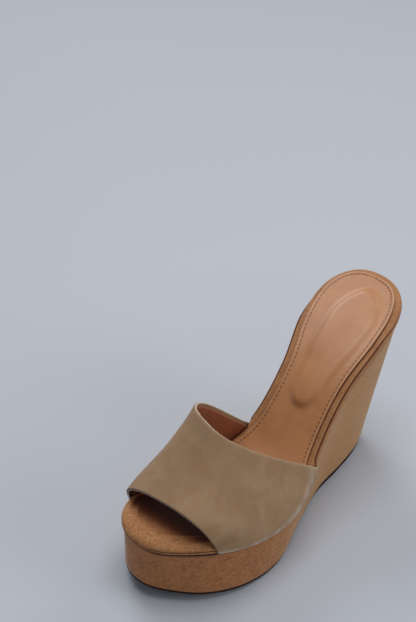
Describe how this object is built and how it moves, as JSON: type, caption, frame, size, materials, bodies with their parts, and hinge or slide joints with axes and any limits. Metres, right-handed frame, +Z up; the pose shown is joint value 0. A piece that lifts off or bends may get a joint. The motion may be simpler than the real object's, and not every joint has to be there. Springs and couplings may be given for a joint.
{
  "type": "wedge sandal",
  "caption": "Backless open-toe platform wedge sandal for a left foot: suede strap over the forefoot, padded leather footbed, covered wedge.",
  "frame": {"origin": "middle of the shoe's bounding box in plan, on the ground under the sole", "axes": "+Y from toe to heel, +X towards the outer side of the foot, +Z up"},
  "size_m": [0.0864, 0.2282, 0.1214],
  "materials": {
    "sole_leather": "dark brown dyed sole edge, satin",
    "lift_rubber": "dark brown rubber, matt",
    "steel": "plain steel fasteners",
    "shank_steel": "rolled spring steel strip",
    "core": "pressed cork and board block",
    "cover_fabric": "tan fibre-textured cover with fine crossing threads",
    "cork_filler": "cork sheet",
    "board": "pressed fibre board",
    "foam": "soft open foam",
    "wrap_fabric": "tan fibre-textured wrap",
    "sock_leather": "smooth tan leather, soft sheen",
    "thread": "brown sewing thread",
    "suede": "sand suede with a short brushed nap",
    "interlining": "woven cotton",
    "lining_leather": "tan lining leather, low sheen"
  },
  "bodies": {
    "root": {"outsole": "sole_leather", "heel_lift": "lift_rubber", "lift_nails": "steel", "wedge_core": "core", "wedge_cover": "cover_fabric", "bottom_filler": "cork_filler", "shank": "shank_steel", "shank_rivets": "steel", "wedge_screws": "steel", "insole_board": "board", "heel_board": "board", "forepart_foam": "foam", "heel_foam": "foam", "insole_wrap": "wrap_fabric", "heel_cushion": "foam", "sock_lining": "sock_leather", "sock_stitching": "thread", "vamp_suede": "suede", "vamp_interlining": "interlining", "vamp_lining": "lining_leather", "edge_tapes": "interlining"}
  },
  "joints": []
}
